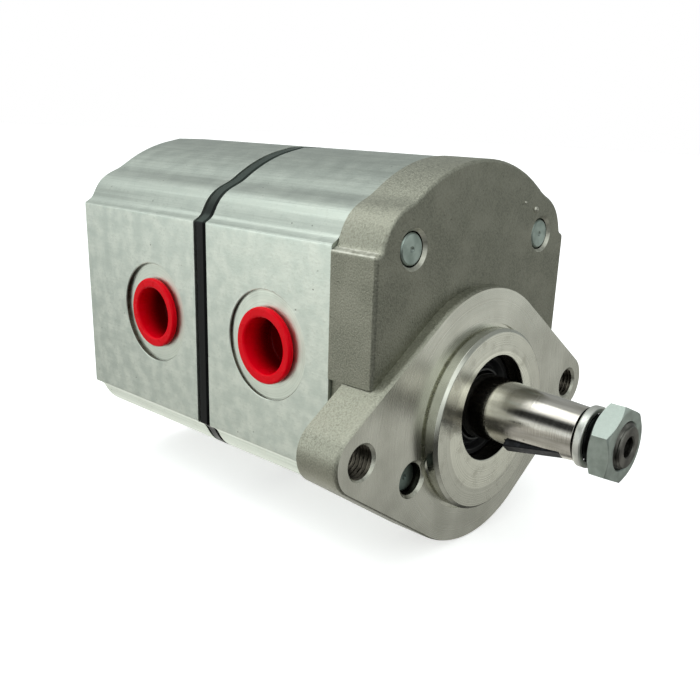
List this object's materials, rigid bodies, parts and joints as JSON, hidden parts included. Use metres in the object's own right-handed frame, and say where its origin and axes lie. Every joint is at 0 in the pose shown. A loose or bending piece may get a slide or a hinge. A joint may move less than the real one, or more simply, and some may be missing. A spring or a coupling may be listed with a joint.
{
  "type": "hydraulic gear pump",
  "caption": "External gear pump in tandem on a cast rhombus flange with pilot spigot, extruded bodies, black middle plate, tapered keyed shaft and red port plugs.",
  "frame": {"origin": "centre of the pilot spigot, on the mounting face of the flange", "axes": "-Y out of the flange along the shaft, +Y rearward through the sections, +Z from the drive gears to the driven gears, outlets on -X and inlets on +X"},
  "size_m": [0.1124, 0.1681, 0.103],
  "materials": {
    "cast_aluminium": "die cast, sandy grey, machined on the mounting face and spigot",
    "extruded_aluminium": "extruded, satin, with fine lengthwise lines",
    "black_plate": "black coated, half gloss",
    "ground_steel": "ground bright steel",
    "gear_steel": "ground gear steel",
    "bearing_alloy": "machined bearing alloy",
    "bush_bronze": "bronze bush",
    "black_rubber": "matt black rubber",
    "zinc_steel": "zinc plated steel",
    "black_steel": "black oxide steel",
    "red_plastic": "glossy red plastic"
  },
  "bodies": {
    "housing": {"front_cover": "cast_aluminium", "front_body": "extruded_aluminium", "intermediate_plate": "black_plate", "rear_body": "extruded_aluminium", "rear_cover": "extruded_aluminium", "shaft_seal": "black_rubber", "front_outlet_plug": "red_plastic", "front_inlet_plug": "red_plastic", "rear_outlet_plug": "red_plastic", "rear_inlet_plug": "red_plastic", "through_bolt_1": "zinc_steel", "through_bolt_2": "zinc_steel", "through_bolt_3": "zinc_steel", "through_bolt_4": "zinc_steel", "bolt_washer_1": "zinc_steel", "bolt_washer_2": "zinc_steel", "bolt_washer_3": "zinc_steel", "bolt_washer_4": "zinc_steel", "front_section_front_block": "bearing_alloy", "front_section_rear_block": "bearing_alloy", "rear_section_front_block": "bearing_alloy", "rear_section_rear_block": "bearing_alloy", "front_section_front_block_seal": "black_rubber", "front_section_rear_block_seal": "black_rubber", "rear_section_front_block_seal": "black_rubber", "rear_section_rear_block_seal": "black_rubber", "front_section_front_drive_bush": "bush_bronze", "front_section_front_driven_bush": "bush_bronze", "front_section_rear_drive_bush": "bush_bronze", "front_section_rear_driven_bush": "bush_bronze", "rear_section_front_drive_bush": "bush_bronze", "rear_section_front_driven_bush": "bush_bronze", "rear_section_rear_drive_bush": "bush_bronze", "rear_section_rear_driven_bush": "bush_bronze", "front_body_front_seal": "black_rubber", "front_body_rear_seal": "black_rubber", "rear_body_front_seal": "black_rubber", "rear_body_rear_seal": "black_rubber", "front_dowel_left": "gear_steel", "front_dowel_right": "gear_steel", "middle_dowel_left": "gear_steel", "middle_dowel_right": "gear_steel", "rear_dowel_left": "gear_steel", "rear_dowel_right": "gear_steel"},
    "drive_train": {"drive_shaft": "ground_steel", "drive_coupling": "gear_steel", "rear_drive_gear": "gear_steel", "woodruff_key": "black_steel", "spring_washer": "zinc_steel", "shaft_nut": "zinc_steel"},
    "front_driven": {"front_driven_gear": "gear_steel"},
    "rear_driven": {"rear_driven_gear": "gear_steel"}
  },
  "joints": [
    {"name": "drive_shaft_spin", "type": "hinge", "parent": "housing", "child": "drive_train", "pos_m": [0, 0, 0.0035], "axis": [0, 1, 0], "continuous": true},
    {"name": "front_driven_spin", "type": "hinge", "parent": "housing", "child": "front_driven", "pos_m": [0, 0.0415, 0.0335], "axis": [0, 1, 0], "continuous": true},
    {"name": "rear_driven_spin", "type": "hinge", "parent": "housing", "child": "rear_driven", "pos_m": [0, 0.09085, 0.0335], "axis": [0, 1, 0], "continuous": true}
  ],
  "couplings": [
    {"joint": "front_driven_spin", "follows": "drive_shaft_spin", "ratio": -1},
    {"joint": "rear_driven_spin", "follows": "drive_shaft_spin", "ratio": -1}
  ]
}
